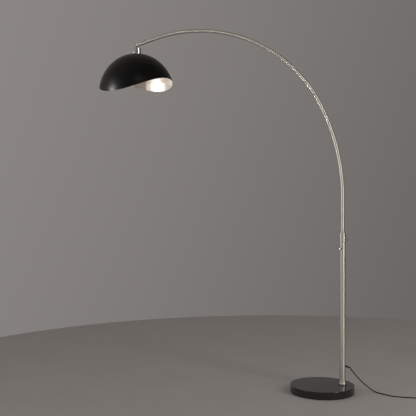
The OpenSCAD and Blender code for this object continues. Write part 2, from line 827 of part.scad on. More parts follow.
module plug_pins() {
    color("#c8c9cb") translate([plug_at[0] + plug_l, plug_at[1], plug_t / 2])
        for (side = [-1, 1]) translate([0, side * pin_pitch / 2, 0]) rotate([0, 90, 0]) {
            cylinder(r = pin_r, h = pin_l - 1);
            translate([0, 0, pin_l - 1]) cylinder(r1 = pin_r, r2 = pin_r - 0.8, h = 1);
        }
}

base_mat();
base_slab();
base_bolt();
base_washer();
pole_foot_plug();
foot_gasket();
foot_ferrule();
pole_tube();
pole_top_bush();
pole_collar();
upper_clamp_insert();
upper_clamp_pad();
upper_clamp_knob();
lower_clamp_insert();
lower_clamp_pad();
lower_clamp_knob();
arm_glide();
arm_foot_cap();
arm_circlip();
arm_lower_tube();
arm_joint_spigot();
arm_joint_screw();
arm_upper_tube();
arm_end_knuckle();
stem_nipple();
stem_collar();
stem_washer();
stem_nut();
pole_lead();
arm_lead();
holder_lead();
holder_cup();
lampholder();
lampholder_contacts();
shade_ring();
shade_shell();
shade_lining();
bulb_globe();
bulb_body();
bulb_cap();
cord_strain_relief();
mains_cord();
switch_cord();
cord_coil();
cord_tie();
plug_cord();
switch_base();
switch_cover();
switch_button();
switch_spring();
switch_block();
switch_screws();
switch_feet();
switch_reliefs();
plug_body();
plug_pins();
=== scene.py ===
"""Looks of the arc floor lamp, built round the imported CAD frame.

Metres, +Z up, in the frame of the part: the origin is the centre of the base's underside,
the pole stands on the +X side of the base and the arm reaches towards -X.
"""
import json
import math

import bmesh
import bpy
from mathutils import Matrix, Vector


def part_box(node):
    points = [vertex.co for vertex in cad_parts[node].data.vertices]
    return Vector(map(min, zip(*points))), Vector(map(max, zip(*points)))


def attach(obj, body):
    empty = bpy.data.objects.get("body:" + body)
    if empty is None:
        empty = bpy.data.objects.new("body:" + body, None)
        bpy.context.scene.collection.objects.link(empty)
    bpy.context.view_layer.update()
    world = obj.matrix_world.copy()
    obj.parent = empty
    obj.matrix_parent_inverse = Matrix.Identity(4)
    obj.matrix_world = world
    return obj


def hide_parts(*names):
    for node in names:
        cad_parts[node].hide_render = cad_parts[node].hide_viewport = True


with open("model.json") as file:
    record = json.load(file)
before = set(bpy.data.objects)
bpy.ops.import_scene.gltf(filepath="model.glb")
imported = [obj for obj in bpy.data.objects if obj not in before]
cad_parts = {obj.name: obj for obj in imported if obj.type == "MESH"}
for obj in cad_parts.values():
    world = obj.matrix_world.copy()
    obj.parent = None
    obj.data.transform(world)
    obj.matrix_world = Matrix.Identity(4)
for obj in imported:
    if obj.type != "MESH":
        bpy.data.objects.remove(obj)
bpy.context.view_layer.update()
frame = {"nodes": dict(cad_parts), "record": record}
scene = bpy.context.scene

MM = 0.001

# ---- Driving dimensions, as in the part ----

BEND_Z = 1.075            # height where the arm starts to bend
BEND_R1 = 1.106           # bend radius of its lower stretch
BEND_R2 = 0.7405          # bend radius of its upper stretch
BLEND_LEAN = 27.85        # lean from the vertical where the two radii meet, degrees
SEAM_LEAN = 42.1          # lean at the seam between the two arm tubes
TIP_LEAN = 110.0          # lean of the straight tip
TIP_L = 0.101             # length of the straight tip, to the shade's axis
TUBE_WALL = 1.2 * MM      # wall of the pole and of the arm

SHADE_R = 0.208           # radius of the dome at its widest level
DOME_H = 0.225            # height of the dome's crown over its widest level
SHELL_T = 1.2 * MM        # thickness of the black shell
LINING_GAP = 0.1 * MM     # size that the leaf is laid in, between shell and lining
LINING_T = 0.4 * MM       # thickness of the silver lining
RIM_MEAN = 0.050          # mean height of the rim over the widest level
WAVE_TWO, WAVE_TWO_AT = 0.030, 54.0      # the rim's wave with two dips: height, direction of a dip
WAVE_ONE, WAVE_ONE_AT = 0.026, 250.0     # the rim's wave with one dip
SEAT_R = 0.027            # radius of the dome's flat seat under the cup
SEAT_HOLE = 0.020         # radius of the hole in the seat
LEAF_FOLD = 0.029         # radius to which the lining's inner edge, at SEAT_R, is folded back
LEAF_SIDE = 0.083         # side of one square of silver leaf

CORD_D = 6.2 * MM
CORD_R = CORD_D / 2
CORD_SLANT = 18.0         # downward slant of the cord where it leaves the pole, degrees
CORD_EXIT_Z = 0.1426      # height where the cord leaves the pole
RELIEF_L = 0.020          # length of the strain relief outside the pole
COIL_AT = Vector((0.640, 0.0, 0.0))
COIL_IN, COIL_OUT = 0.031, 0.0374        # radii of the coil's inner and outer turns
LAYER = CORD_D + 0.1 * MM                # height of one layer of turns
TIE_AT = 44.0             # direction of the tie from the coil's centre, degrees
SWITCH_SPLIT = 9 * MM     # height of the line where the foot switch's halves meet


def middle(node):
    """Middle of a node's box."""
    low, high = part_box(node)
    return (low + high) / 2


def round_box(node):
    """A round upright node's radius, lowest height and highest height."""
    low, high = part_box(node)
    return (high.x - low.x) / 2, low.z, high.z


POLE = middle("pole_tube")
POLE_R = round_box("pole_tube")[0]
ARM_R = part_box("arm_lower_tube")[1].y
SHADE = middle("holder_cup")
SEAT_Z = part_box("holder_cup")[0].z
DOME_Z = SEAT_Z - DOME_H * math.cos(math.asin(SEAT_R / SHADE_R))


# ---- Camera ----

def make_camera():
    """Level camera in front of the lamp, about halfway up its height."""
    data = bpy.data.cameras.new("camera")
    data.lens = 61.53
    data.sensor_width = 36
    camera = bpy.data.objects.new("camera", data)
    camera.location = (-0.628, -3.910, 1.012)
    camera.rotation_euler = (math.radians(90), 0, 0)
    scene.collection.objects.link(camera)
    scene.camera = camera


make_camera()


# ---- Shapes ----

def finish_mesh(name, points, faces, uvs, sharp=35):
    """Object from points and faces, with one UV per face corner, in metres."""
    mesh = bpy.data.meshes.new(name)
    mesh.from_pydata([tuple(p) for p in points], [], faces)
    layer = mesh.uv_layers.new(name="metres")
    for face, corners in zip(mesh.polygons, uvs):
        for loop, uv in zip(face.loop_indices, corners):
            layer.data[loop].uv = uv
    made = bmesh.new()
    made.from_mesh(mesh)
    bmesh.ops.recalc_face_normals(made, faces=made.faces)
    made.to_mesh(mesh)
    made.free()
    mesh.shade_smooth()
    mesh.set_sharp_from_angle(angle=math.radians(sharp))
    piece = bpy.data.objects.new(name, mesh)
    scene.collection.objects.link(piece)
    piece.modifiers.new("normals", "WEIGHTED_NORMAL").keep_sharp = True
    return piece


def skin(name, rings, closed=False, sharp=35):
    """Surface through rings of points. Closed joins the last ring to the first; open is capped."""
    n = len(rings[0])
    points = [Vector(p) for ring in rings for p in ring]
    around = [[0.0] for _ in rings]
    along = [0.0]
    for i, ring in enumerate(rings):
        for k in range(n):
            side = Vector(ring[(k + 1) % n]) - Vector(ring[k])
            around[i].append(around[i][-1] + side.length)
        if i:
            along.append(along[-1] + (Vector(ring[0]) - Vector(rings[i - 1][0])).length)
    along.append(along[-1] + (Vector(rings[0][0]) - Vector(rings[-1][0])).length)
    width = max(a[-1] for a in around)
    faces, uvs = [], []
    for i in range(len(rings) if closed else len(rings) - 1):
        j = (i + 1) % len(rings)
        for k in range(n):
            m = (k + 1) % n
            faces.append((i * n + k, i * n + m, j * n + m, j * n + k))
            u, v = k / n * width, (k + 1) / n * width
            uvs.append(((u, along[i]), (v, along[i]), (v, along[i + 1]), (u, along[i + 1])))
    if not closed:
        for i, ring in ((0, rings[0]), (len(rings) - 1, rings[-1])):
            hub = sum((Vector(p) for p in ring), Vector()) / n
            points.append(hub)
            for k in range(n):
                a, b = i * n + k, i * n + (k + 1) % n
                faces.append((a, b, len(points) - 1))
                uvs.append(tuple((p.x, p.y) for p in (points[a], points[b], hub)))
    return finish_mesh(name, points, faces, uvs, sharp)


def rounded(corners, closed=False, steps=5):
    """Outline through corners (x, y, fillet), each corner rounded by its own fillet."""
    out = []
    n = len(corners)
    for i, (x, y, fillet) in enumerate(corners):
        here = Vector((x, y))
        if not fillet or (not closed and i in (0, n - 1)):
            out.append(here)
            continue
        back = (Vector(corners[i - 1][:2]) - here).normalized()
        on = (Vector(corners[(i + 1) % n][:2]) - here).normalized()
        half = back.angle(on) / 2
        centre = here + (back + on).normalized() * fillet / math.sin(half)
        first = here + back * fillet / math.tan(half) - centre
        last = here + on * fillet / math.tan(half) - centre
        turn = math.pi - 2 * half
        for s in range(steps + 1):
            t = s / steps
            out.append(centre + (math.sin((1 - t) * turn) * first + math.sin(t * turn) * last)
                       / math.sin(turn))
    return out


def axis_at(origin, direction):
    """Matrix that puts a local +Z along direction at origin."""
    turn = Vector(direction).to_track_quat("Z", "Y").to_matrix().to_4x4()
    return Matrix.Translation(origin) @ turn


def upright(x, y):
    """Matrix of a vertical axis through (x, y)."""
    return Matrix.Translation((x, y, 0))


POLE_AXIS = upright(POLE.x, 0)
SHADE_AXIS = upright(SHADE.x, 0)


def round_angles(steps):
    """Angles of a full turn, in radians."""
    return [2 * math.pi * k / steps for k in range(steps)]


def lathe(name, outline, place, closed=False, steps=96, ribs=None, sharp=35):
    """Solid turned from an outline of (radius, height). Ribs are (count, depth, radius they start at)."""
    outline = [Vector(p) for p in outline]
    if not closed:
        outline = [p for p in outline if p.x > 0]
    rib_count, rib_depth, ribs_from = ribs or (0, 0, math.inf)
    rings = []
    for p in outline:
        ring = []
        for a in round_angles(steps):
            r = p.x
            if r >= ribs_from:
                r -= rib_depth * (0.5 - 0.5 * math.cos(rib_count * a))
            ring.append(place @ Vector((r * math.cos(a), r * math.sin(a), p.y)))
        rings.append(ring)
    return skin(name, rings, closed, sharp)


def thread(name, place, bore, root, depth, pitch, low, high):
    """Sleeve with a rounded screw thread on its outside, between two heights."""
    rows = 10                 # rings to each turn of the thread
    angles = round_angles(72)
    count = int((high - low) / pitch * rows)

    def bore_ring(z):
        return [place @ Vector((bore * math.cos(a), bore * math.sin(a), z)) for a in angles]

    rings = [bore_ring(low)]
    for i in range(count + 1):
        z = low + (high - low) * i / count
        fade = min(1, 3 * min(i, count - i) / rows)
        ring = []
        for a in angles:
            r = root + depth * fade * (0.5 + 0.5 * math.cos(2 * math.pi * z / pitch - a))
            ring.append(place @ Vector((r * math.cos(a), r * math.sin(a), z)))
        rings.append(ring)
    rings.append(bore_ring(high))
    return skin(name, rings, closed=True)


# ---- Routes of the free cord, in the order pole, foot switch, coil, plug ----

def out_of_pole(step):
    """Point on the cord's line out of the pole, a step from the pole's surface."""
    slant = math.radians(CORD_SLANT)
    surface = POLE.x + POLE_R
    return Vector((surface + step * math.cos(slant), 0, CORD_EXIT_Z - step * math.sin(slant)))


MAINS_ROUTE = [
    out_of_pole(-0.004), out_of_pole(0), out_of_pole(RELIEF_L), out_of_pole(RELIEF_L + 0.005),
    (0.160, 0.003, 0.122), (0.175, 0.006, 0.105), (0.188, 0.008, 0.089), (0.202, 0.010, 0.073),
    (0.227, 0.010, 0.048), (0.252, 0.004, 0.028), (0.274, -0.010, 0.012), (0.295, -0.027, 0.005),
    (0.316, -0.047, CORD_R), (0.335, -0.071, CORD_R), (0.354, -0.092, CORD_R),
    (0.375, -0.106, CORD_R), (0.399, -0.114, CORD_R), (0.422, -0.121, CORD_R),
    (0.445, -0.127, CORD_R), (0.477, -0.134, CORD_R), (0.510, -0.139, 0.0036),
    (0.535, -0.140, 0.007), (0.557, -0.140, SWITCH_SPLIT), (0.586, -0.140, SWITCH_SPLIT),
]
SWITCH_ROUTE = [
    (0.634, -0.140, SWITCH_SPLIT), (0.663, -0.140, SWITCH_SPLIT), (0.683, -0.137, 0.006),
    (0.699, -0.125, 0.0035), (0.706, -0.106, CORD_R), (0.703, -0.084, CORD_R),
    (0.694, -0.062, CORD_R), (0.684, -0.038, CORD_R), (0.678, -0.014, CORD_R),
    (COIL_AT.x + COIL_OUT, 0.004, CORD_R),
]
PLUG_ROUTE = [
    (0.646, COIL_OUT, 0.0157), (0.632, 0.038, 0.0157), (0.616, 0.042, 0.013),
    (0.600, 0.051, 0.009), (0.590, 0.065, 0.0055), (0.590, 0.082, 0.0045),
    (0.599, 0.097, 0.0055), (0.616, 0.105, 0.0065), (0.630, 0.106, 0.007), (0.648, 0.106, 0.007),
]

# The coil's places in its bundle, as (radius, layer), in the order that the cord takes them
COIL_PLACES = [(COIL_OUT, 0), (COIL_IN, 0), (COIL_IN, 1), (COIL_OUT, 1), (COIL_OUT, 2)]
FIRST_CHANGE, CHANGE_EVERY, CHANGE_TAKES = 255, 305, 50      # degrees
COIL_FROM, COIL_TO, COIL_STEP = 14, 4 * 360 + 73, 9          # degrees


def coil_route():
    """Turns of the coil. Each goes over to the next place a little earlier than the turn before it."""
    route = []
    for degrees in range(COIL_FROM, COIL_TO, COIL_STEP):
        radius, layer = COIL_PLACES[0]
        for i, (next_radius, next_layer) in enumerate(COIL_PLACES[1:]):
            t = (degrees - FIRST_CHANGE - CHANGE_EVERY * i) / CHANGE_TAKES
            t = max(0, min(1, t))
            t = t * t * (3 - 2 * t)       # smooth start and stop
            radius += (next_radius - radius) * t
            layer += (next_layer - layer) * t
        a = math.radians(degrees)
        height = CORD_R + layer * LAYER
        route.append(COIL_AT + Vector((radius * math.cos(a), radius * math.sin(a), height)))
    return route


def smooth_route(points, steps):
    """Points on the smooth curve through the given ones, with steps to each stretch."""
    p = [Vector(q) for q in points]
    out = []
    for i in range(len(p) - 1):
        a, b, c, d = p[max(i - 1, 0)], p[i], p[i + 1], p[min(i + 2, len(p) - 1)]
        for s in range(steps):
            t = s / steps
            out.append(b + t * (c - a) / 2 + t * t * (2 * a - 5 * b + 4 * c - d) / 2
                       + t ** 3 * (3 * b - a - 3 * c + d) / 2)
    return out + [p[-1]]


def make_cord():
    """The whole lead as one curve: pole, foot switch, coil, plug. Returns it and its length."""
    route = smooth_route(MAINS_ROUTE + SWITCH_ROUTE + coil_route() + PLUG_ROUTE, 4)
    data = bpy.data.curves.new("mains_lead", "CURVE")
    data.dimensions = "3D"
    data.bevel_depth = CORD_R
    data.bevel_resolution = 7
    data.use_fill_caps = True
    spline = data.splines.new("POLY")
    spline.points.add(len(route) - 1)
    for point, place in zip(spline.points, route):
        point.co = (*place, 1)
    spline.use_smooth = True
    cord = bpy.data.objects.new("mains_lead", data)
    scene.collection.objects.link(cord)
    return cord, sum((b - a).length for a, b in zip(route, route[1:]))


cord, cord_length = make_cord()


# ---- Materials: one for each slot of the record ----

class Nodes:
    """A material's node tree, with short calls for its nodes."""

    def __init__(self, name, **settings):
        self.material = bpy.data.materials.new(name)
        self.material.use_nodes = True
        self.tree = self.material.node_tree
        self.tree.nodes.clear()
        self.shader = self.add("ShaderNodeBsdfPrincipled", **settings)
        self.link(self.shader.outputs[0], self.add("ShaderNodeOutputMaterial").inputs[0])

    def add(self, kind, **settings):
        """A node. A setting in words sets an input, such as Base_Color, and another an attribute."""
        node = self.tree.nodes.new(kind)
        for key, value in settings.items():
            if key[0].isupper():
                node.inputs[key.replace("_", " ")].default_value = value
            else:
                setattr(node, key, value)
        return node

    def link(self, output, target):
        self.tree.links.new(output, target)

    def place(self, scale=(1, 1, 1), kind="Object"):
        """Coordinates in metres, scaled."""
        mapping = self.add("ShaderNodeMapping")
        mapping.inputs["Scale"].default_value = scale
        self.link(self.add("ShaderNodeTexCoord").outputs[kind], mapping.inputs["Vector"])
        return mapping.outputs[0]

    def noise(self, place, scale, detail=4, roughness=0.55):
        """Noise from 0 to 1, with scale cells to the metre of place."""
        node = self.add("ShaderNodeTexNoise", Scale=scale, Detail=detail, Roughness=roughness)
        self.link(place, node.inputs["Vector"])
        return node.outputs["Fac"]

    def ramp(self, factor, *stops):
        """Colour or grey by factor: stops are (position, value)."""
        node = self.add("ShaderNodeValToRGB")
        for i, (position, value) in enumerate(stops):
            stop = node.color_ramp.elements[i] if i < 2 else node.color_ramp.elements.new(position)
            stop.position = position
            colour = (value,) * 3 if isinstance(value, (int, float)) else tuple(value)
            stop.color = (*colour, 1)
        self.link(factor, node.inputs[0])
        return node.outputs[0]

    def mix(self, factor, one, other):
        """Colour one where factor is 0, the other where it is 1."""
        node = self.add("ShaderNodeMix", data_type="RGBA")
        colour_a, colour_b = node.inputs[6], node.inputs[7]
        for socket, value in ((node.inputs[0], factor), (colour_a, one), (colour_b, other)):
            if isinstance(value, bpy.types.NodeSocket):
                self.link(value, socket)
            elif isinstance(value, (int, float)):
                socket.default_value = value
            else:
                socket.default_value = (*value, 1)
        return node.outputs[2]

    def math(self, operation, one, other):
        """Sum, product or such of two numbers."""
        node = self.add("ShaderNodeMath", operation=operation)
        for socket, value in zip(node.inputs, (one, other)):
            if isinstance(value, bpy.types.NodeSocket):
                self.link(value, socket)
            else:
                socket.default_value = value
        return node.outputs[0]

    def bump(self, height, distance, strength, after=None):
        """Normal from a height between 0 and distance in metres, on top of another normal."""
        node = self.add("ShaderNodeBump", Distance=distance, Strength=strength)
        self.link(height, node.inputs["Height"])
        if after is not None:
            self.link(after, node.inputs["Normal"])
        return node.outputs[0]

    def rise(self, value, start, stop):
        """Smooth step from 0 at start to 1 at stop."""
        node = self.add("ShaderNodeMapRange", interpolation_type="SMOOTHSTEP", From_Min=start,
                        From_Max=stop)
        self.link(value, node.inputs["Value"])
        return node.outputs["Result"]

    def set(self, name, output):
        """Feeds one of the shader's inputs."""
        self.link(output, self.shader.inputs[name])


def black_stone():
    """Polished black stone: fine crystals, grey flecks and faint clouds under a hard polish."""
    n = Nodes("polished_stone", IOR=1.55, Specular_IOR_Level=0.68)
    place = n.place()
    crystals = n.add("ShaderNodeTexVoronoi", feature="F1", Scale=420.0)
    n.link(place, crystals.inputs["Vector"])
    clouds = n.noise(place, 26, 6)
    flecks = n.ramp(n.noise(place, 760, 3, 0.7), (0.66, 0.0), (0.74, 1.0))
    colour = n.ramp(clouds, (0.3, (0.0035, 0.0038, 0.0042)), (0.7, (0.010, 0.0108, 0.0115)))
    sparse = n.ramp(crystals.outputs["Color"], (0.5, 0.0), (1.0, 1.0))
    colour = n.mix(n.math("MULTIPLY", sparse, 0.35), colour, (0.020, 0.021, 0.022))
    n.set("Base Color", n.mix(n.math("MULTIPLY", flecks, 0.45), colour, (0.085, 0.09, 0.095)))
    n.set("Roughness", n.ramp(n.noise(place, 55, 5), (0.3, 0.045), (0.75, 0.11)))
    n.set("Normal", n.bump(n.noise(place, 900, 2), 0.00001, 0.25))
    return n.material


def brushed(name, colour, low, high):
    """Metal brushed round its girth, with fine streaks in its gloss and tone."""
    n = Nodes(name, Base_Color=(*colour, 1), Metallic=1.0, Anisotropic=0.85, Anisotropic_Rotation=0.25)
    tangent = n.add("ShaderNodeTangent", direction_type="UV_MAP", uv_map="metres")
    n.set("Tangent", tangent.outputs[0])
    streaks = n.noise(n.place((16, 2600, 1), "UV"), 1, 3, 0.6)
    coarse = n.noise(n.place((5, 700, 1), "UV"), 1, 2)
    both = n.math("MULTIPLY", n.math("ADD", streaks, coarse), 0.5)
    n.set("Roughness", n.ramp(both, (0.3, low), (0.7, high)))
    darker = tuple(0.93 * c for c in colour)
    n.set("Base Color", n.mix(n.ramp(both, (0.3, 0.0), (0.7, 1.0)), darker, colour))
    return n.material


def plated(name, colour, low, high):
    """Bright plated metal with faint handling marks."""
    n = Nodes(name, Base_Color=(*colour, 1), Metallic=1.0)
    marks = n.noise(n.place(), 160, 5, 0.6)
    n.set("Roughness", n.ramp(marks, (0.35, low), (0.75, high)))
    n.set("Normal", n.bump(n.noise(n.place(), 500, 2), 0.000008, 0.2))
    return n.material


def lacquer():
    """Satin black lacquer on the outside of the shade, with the fine orange peel of sprayed paint."""
    n = Nodes("black_lacquer", IOR=1.5, Specular_IOR_Level=0.2)
    place = n.place()
    clouds = n.noise(place, 9, 4)
    n.set("Base Color", n.ramp(clouds, (0.3, 0.0016), (0.7, (0.0024, 0.0023, 0.0022))))
    n.set("Roughness", n.ramp(n.noise(place, 40, 5), (0.3, 0.30), (0.7, 0.36)))
    n.set("Normal", n.bump(n.noise(place, 620, 3, 0.6), 0.00006, 0.25))
    return n.material


def leaf():
    """Silver leaf: hand-laid squares that overlap, with worn seams, creases and mottled tarnish, and a patch
    of painted shade on its back wall.
    """
    n = Nodes("silver_leaf", Metallic=1.0)
    place = n.place(kind="UV")
    wander = n.add("ShaderNodeTexNoise", Scale=34.0, Detail=4.0)
    n.link(place, wander.inputs["Vector"])
    shift = n.add("ShaderNodeVectorMath", operation="MULTIPLY_ADD")
    n.link(wander.outputs["Color"], shift.inputs[0])
    shift.inputs[1].default_value = (0.012, 0.012, 0)
    n.link(place, shift.inputs[2])
    black, grey, white = ((tone, tone, tone, 1) for tone in (0, 0.5, 1))
    squares = n.add("ShaderNodeTexBrick", offset=0.37, offset_frequency=2, Scale=1.0,
                    Color1=black, Color2=white, Mortar=grey, Mortar_Size=0.0011,
                    Mortar_Smooth=0.75, Brick_Width=LEAF_SIDE, Row_Height=LEAF_SIDE)
    n.link(shift.outputs[0], squares.inputs["Vector"])
    seams = squares.outputs["Fac"]
    mottle = n.noise(place, 75, 7, 0.65)
    creases = n.add("ShaderNodeTexVoronoi", feature="DISTANCE_TO_EDGE", Scale=58.0)
    n.link(shift.outputs[0], creases.inputs["Vector"])
    by_square = n.math("MULTIPLY", squares.outputs["Color"], 0.45)
    tone = n.ramp(n.math("ADD", by_square, n.math("MULTIPLY", mottle, 0.62)),
                  (0.22, (0.60, 0.54, 0.47)), (0.48, (0.84, 0.80, 0.74)), (0.78, (0.95, 0.93, 0.90)))
    # Painted shade: a darker, browner patch on the lining's back wall stands in for the shadow and dark
    # reflection there. Its edge towards the pole is the sharper one
    at = n.add("ShaderNodeSeparateXYZ")
    n.link(n.place(), at.inputs[0])
    left = n.rise(at.outputs["X"], SHADE.x - 0.048, SHADE.x - 0.030)
    right = n.rise(at.outputs["X"], SHADE.x + 0.036, SHADE.x + 0.033)
    back = n.rise(at.outputs["Y"], 0.04, 0.09)
    painted_shade_patch = n.math("MULTIPLY", n.math("MULTIPLY", left, right), back)
    painted_shade_patch = n.math("MULTIPLY", painted_shade_patch, n.ramp(mottle, (0.3, 0.55), (0.65, 1.0)))
    tone = n.mix(painted_shade_patch, tone, (0.42, 0.34, 0.29))
    n.set("Base Color", n.mix(seams, tone, (0.52, 0.44, 0.36)))
    n.set("Roughness", n.ramp(mottle, (0.3, 0.34), (0.7, 0.54)))
    wrinkles = n.bump(n.ramp(creases.outputs["Distance"], (0.0, 0.0), (0.12, 1.0)), 0.00035, 0.35)
    grain = n.bump(n.noise(place, 260, 5, 0.6), 0.0004, 0.35, wrinkles)
    n.set("Normal", n.bump(seams, 0.0003, 0.5, grain))
    return n.material


def moulded(name, colour, roughness, scale=1500, depth=0.00004, strength=0.35):
    """Moulded plastic or rubber with a fine texture and slight tone changes."""
    n = Nodes(name)
    place = n.place()
    darker = tuple(0.85 * c for c in colour)
    n.set("Base Color", n.ramp(n.noise(place, 45, 4), (0.3, darker), (0.7, colour)))
    n.set("Roughness", n.ramp(n.noise(place, 120, 4), (0.3, roughness - 0.05), (0.7, roughness + 0.06)))
    n.set("Normal", n.bump(n.noise(place, scale, 3), depth, strength))
    return n.material


def opal():
    """Opal cover of the bulb: a smooth white diffuser."""
    n = Nodes("opal_cover", Subsurface_Weight=0.35, Subsurface_Scale=0.01, IOR=1.5)
    place = n.place()
    n.set("Base Color", n.ramp(n.noise(place, 30, 3), (0.3, (0.80, 0.79, 0.76)), (0.7, (0.86, 0.85, 0.82))))
    n.set("Roughness", n.ramp(n.noise(place, 90, 3), (0.3, 0.30), (0.7, 0.38)))
    return n.material


MATERIALS = {
    "polished_stone": black_stone(),
    "brushed_nickel": brushed("brushed_nickel", (0.70, 0.665, 0.61), 0.34, 0.40),
    "polished_chrome": plated("polished_chrome", (0.80, 0.79, 0.78), 0.05, 0.10),
    "dark_steel": plated("dark_steel", (0.10, 0.10, 0.10), 0.28, 0.40),
    "zinc_steel": plated("zinc_steel", (0.58, 0.60, 0.63), 0.24, 0.36),
    "black_lacquer": lacquer(),
    "silver_leaf": leaf(),
    "brass": plated("brass", (0.74, 0.55, 0.22), 0.16, 0.28),
    "white_nylon": moulded("white_nylon", (0.72, 0.70, 0.64), 0.5),
    "white_plastic": moulded("white_plastic", (0.76, 0.75, 0.71), 0.32),
    "opal_cover": opal(),
    "black_plastic": moulded("black_plastic", (0.014, 0.014, 0.015), 0.42),
    "black_rubber": moulded("black_rubber", (0.018, 0.018, 0.018), 0.62),
    "cord_jacket": moulded("cord_jacket", (0.013, 0.0125, 0.012), 0.40, scale=2400, depth=0.00003,
                           strength=0.3),
}


def show(piece, slot, body, *nodes):
    """Gives a piece its material and body, in place of the CAD nodes that it stands for."""
    piece.data.materials.append(MATERIALS[slot])
    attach(piece, body)
    if nodes:
        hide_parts(*nodes)
    return piece


def paint_cad_nodes():
    """Every CAD node takes its slot's material, shown or not."""
    for part in frame["record"]["subparts"]:
        node = frame["nodes"][part["node"]]
        for slot in node.material_slots:
            slot.material = MATERIALS[part["material_slot"]]


paint_cad_nodes()


# ---- Base ----

def make_base():
    """Stone slab on its thin mat."""
    r, low, high = round_box("base_mat")
    edge = 0.8 * MM
    outline = rounded([(0, low, 0), (r, low, edge), (r, high, edge), (0, high, 0)])
    show(lathe("mat", outline, upright(0, 0), steps=160), "black_rubber", "root", "base_mat")
    r, low, high = round_box("base_slab")
    outline = rounded([(0, low, 0), (r, low, 1.5 * MM), (r, high, 1.8 * MM), (0, high, 0)], steps=6)
    show(lathe("slab", outline, upright(0, 0), steps=240), "polished_stone", "root", "base_slab")


def make_ferrule():
    """Flared foot of the pole, on its black gasket."""
    r, low, high = round_box("foot_gasket")
    outline = rounded([(POLE_R, low, 0), (r, low, 0.3 * MM), (r, high, 0.8 * MM), (POLE_R, high, 0)],
                      closed=True)
    show(lathe("gasket", outline, POLE_AXIS, closed=True), "black_rubber", "root", "foot_gasket")
    wide, low, high = round_box("foot_ferrule")
    slim = POLE_R + 1 * MM
    bevel = 0.5 * MM
    edge = low + 2 * MM
    flare = [(wide - (wide - slim) * math.sin(a), edge + (high - edge) * (1 - math.cos(a)))
             for a in (math.radians(7.5 * k) for k in range(13))]
    outline = [(POLE_R, low), (wide - bevel, low), (wide, low + bevel), *flare,
               (slim - 0.4 * MM, high), (POLE_R, high)]
    ferrule = lathe("ferrule", outline, POLE_AXIS, closed=True, sharp=40)
    show(ferrule, "brushed_nickel", "root", "foot_ferrule")


# ---- Pole ----

def make_pole():
    """Upright tube, and the grooved collar round its top."""
    _, low, high = round_box("pole_tube")
    bore = POLE_R - TUBE_WALL
    tube = lathe("pole", [(bore, low), (POLE_R, low), (POLE_R, high), (bore, high)], POLE_AXIS, closed=True)
    show(tube, "brushed_nickel", "root", "pole_tube")
    r, low, high = round_box("pole_collar")
    lip = ARM_R + 0.5 * MM
    lip_z = high - 4.6 * MM
    groove_r = r - 0.5 * MM
    groove_low = low + 6 * MM
    groove_high = groove_low + 1.2 * MM
    ease = 0.2 * MM
    outline = rounded([
        (POLE_R, low, 0), (r, low, 0.9 * MM), (r, groove_low, ease), (groove_r, groove_low, ease),
        (groove_r, groove_high, ease), (r, groove_high, ease), (r, high, 1.2 * MM), (lip, high, 0.5 * MM),
        (lip, lip_z, 0), (POLE_R, lip_z, 0)], closed=True)
    show(lathe("collar", outline, POLE_AXIS, closed=True), "brushed_nickel", "root", "pole_collar")


def make_knob(name, node, turn, head, head_l, head_r, neck_r, shank_r, ribs):
    """Clamp screw with a knurled head, pointing away from the pole in the direction turn, in degrees.

    head is where the head starts, from the pole's axis, and head_l and head_r are its length and radius.
    """
    turn = math.radians(turn)
    start = ARM_R + 2.8 * MM
    neck = head - 3 * MM
    top = head + head_l
    ease = 0.3 * MM
    outline = rounded([
        (0, start, 0), (shank_r, start, ease), (shank_r, neck, 0), (neck_r, neck, 0.2 * MM),
        (neck_r, head, 0), (head_r - ease, head, ease), (head_r, head + 0.9 * MM, ease),
        (head_r, top - 1.1 * MM, ease), (head_r - 0.9 * MM, top, 0.5 * MM), (0, top, 0)], steps=3)
    place = axis_at((POLE.x, 0, middle(node).z), (math.cos(turn), math.sin(turn), 0))
    return lathe(name, outline, place, steps=ribs * 8, ribs=(ribs, 0.45 * MM, head_r - 0.5 * MM), sharp=50)


def make_clamps():
    """Clamp screw in the collar, and the smaller one below it in the pole."""
    upper = make_knob("upper_knob", "upper_clamp_knob", turn=0, head=22.6 * MM, head_l=7.5 * MM,
                      head_r=9.5 * MM, neck_r=4.2 * MM, shank_r=3 * MM, ribs=36)
    show(upper, "polished_chrome", "upper_clamp_screw", "upper_clamp_knob")
    lower = make_knob("lower_knob", "lower_clamp_knob", turn=220, head=20.6 * MM, head_l=6 * MM,
                      head_r=6 * MM, neck_r=3.6 * MM, shank_r=2.5 * MM, ribs=24)
    show(lower, "polished_chrome", "lower_clamp_screw", "lower_clamp_knob")


# ---- Arm ----

def arm_place(lean):
    """Point of the arm's centre line on the upper or lower bend at a lean, in degrees."""
    a = math.radians(lean)
    blend = math.radians(BLEND_LEAN)
    centre = Vector((POLE.x - BEND_R1, 0, BEND_Z))
    radius = BEND_R1
    if lean > BLEND_LEAN:
        centre += (BEND_R1 - BEND_R2) * Vector((math.cos(blend), 0, math.sin(blend)))
        radius = BEND_R2
    return centre + radius * Vector((math.cos(a), 0, math.sin(a)))


def arm_ring(centre, lean, r):
    """Ring of points round the arm's centre line at a lean."""
    a = math.radians(lean)
    out = Vector((math.cos(a), 0, math.sin(a)))
    side = Vector((0, 1, 0))
    return [centre + r * (math.cos(t) * out + math.sin(t) * side) for t in round_angles(48)]


def leans(low, high):
    """Leans from low to high in even steps of at most 0.75 degrees."""
    count = math.ceil((high - low) / 0.75)
    return [low + (high - low) * k / count for k in range(count + 1)]


